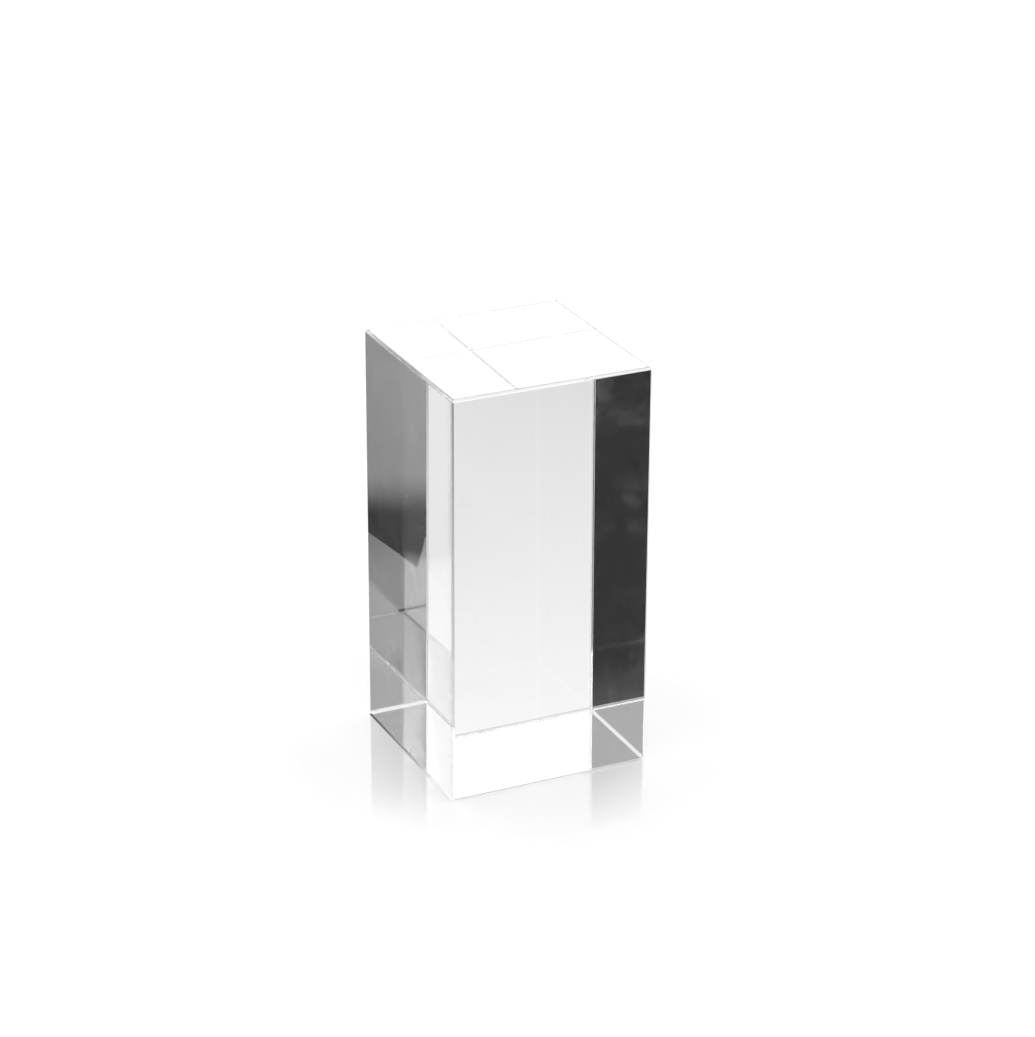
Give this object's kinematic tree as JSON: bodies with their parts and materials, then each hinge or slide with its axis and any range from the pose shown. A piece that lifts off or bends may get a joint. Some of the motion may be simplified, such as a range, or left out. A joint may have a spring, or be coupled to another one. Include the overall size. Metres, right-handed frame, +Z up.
{
  "type": "acrylic display block",
  "caption": "Solid clear acrylic block, a square prism with polished faces and broken edges, that stands under or beside a small exhibit.",
  "frame": {"origin": "centre of the square face that the block stands on", "axes": "+Z up along the block's length to the face that carries the exhibit, +Y to the back, +X to the right seen from the front"},
  "size_m": [0.05, 0.05, 0.1],
  "materials": {
    "clear_acrylic": "polished"
  },
  "bodies": {
    "root": {"acrylic_block": "clear_acrylic"}
  },
  "joints": []
}
